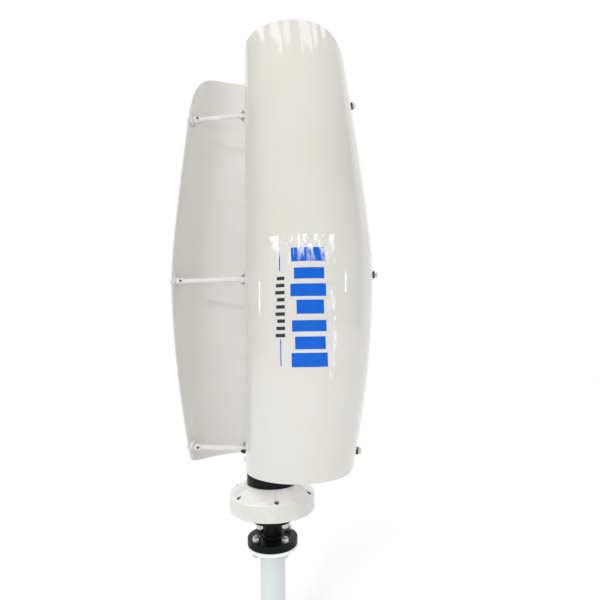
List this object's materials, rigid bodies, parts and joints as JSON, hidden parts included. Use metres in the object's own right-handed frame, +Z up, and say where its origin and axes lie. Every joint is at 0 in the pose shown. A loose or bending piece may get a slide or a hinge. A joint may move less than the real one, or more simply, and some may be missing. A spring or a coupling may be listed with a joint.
{
  "type": "vertical axis wind turbine",
  "caption": "Vertical axis wind turbine with half-round blades on rod arms, a disc generator underneath and a flanged mast pipe.",
  "frame": {"origin": "centre of the mast stub's lower end, at the middle of the part's base", "axes": "+Z up along the mast and the spin axis; the arms lie along X and blade A stands on the -Y side"},
  "size_m": [0.5322, 0.3174, 1.471],
  "materials": {
    "white_shell": "gloss",
    "mast_paint": "gloss",
    "cover_enamel": "gloss",
    "white_paint": "satin",
    "black_paint": "gloss",
    "bright_steel": "satin",
    "dark_steel": "satin",
    "bearing_steel": "polished",
    "nickel": "polished",
    "cage_brass": "satin",
    "resin": "matt",
    "copper": "satin",
    "black_rubber": "matt",
    "black_plastic": "matt"
  },
  "bodies": {
    "mast": {"mast_tube": "mast_paint", "mast_flange": "mast_paint", "mast_weld": "mast_paint", "adaptor_plate": "black_paint", "base_flange": "black_paint", "cable_grommet": "black_rubber", "flange_bolts": "bright_steel", "m10_nuts": "bright_steel", "m10_washers": "bright_steel", "neck_tube": "black_paint", "neck_weld": "black_paint", "neck_flange": "black_paint", "neck_bolts": "bright_steel", "stator_shaft": "black_paint", "spacers": "bearing_steel", "shaft_nut": "dark_steel", "inner_races": "bearing_steel", "stator_disc": "resin", "stator_coils": "copper", "low_balls": "nickel", "low_cage": "cage_brass", "high_balls": "nickel", "high_cage": "cage_brass"},
    "rotor": {"outer_races": "bearing_steel", "seal": "black_rubber", "lower_cover": "cover_enamel", "upper_cover": "cover_enamel", "cover_screws": "bright_steel", "magnet_plates": "bearing_steel", "magnets": "nickel", "hub": "black_paint", "hub_bolts": "bright_steel", "centre_tube": "white_paint", "tube_cap": "black_plastic", "cross_bolt": "bright_steel", "cross_nut": "bright_steel", "bar_low": "black_paint", "bar_mid": "white_paint", "bar_top": "white_paint", "arm_low_a": "white_paint", "arm_low_b": "white_paint", "arm_mid_a": "white_paint", "arm_mid_b": "white_paint", "arm_top_a": "white_paint", "arm_top_b": "white_paint", "arm_bolts": "bright_steel", "arm_nuts": "bright_steel", "grub_screws": "dark_steel", "feet_low": "white_paint", "feet_mid": "white_paint", "feet_top": "white_paint", "blade_bolts": "bright_steel", "blade_washers": "bright_steel", "wedge_pads": "black_rubber", "clips": "white_paint", "clip_screws": "bright_steel", "clip_nuts": "bright_steel", "blade_a": "white_shell", "blade_b": "white_shell"}
  },
  "joints": [
    {"name": "rotor_spin", "type": "hinge", "parent": "mast", "child": "rotor", "pos_m": [0, 0, 0.36], "axis": [0, 0, 1], "continuous": true}
  ]
}
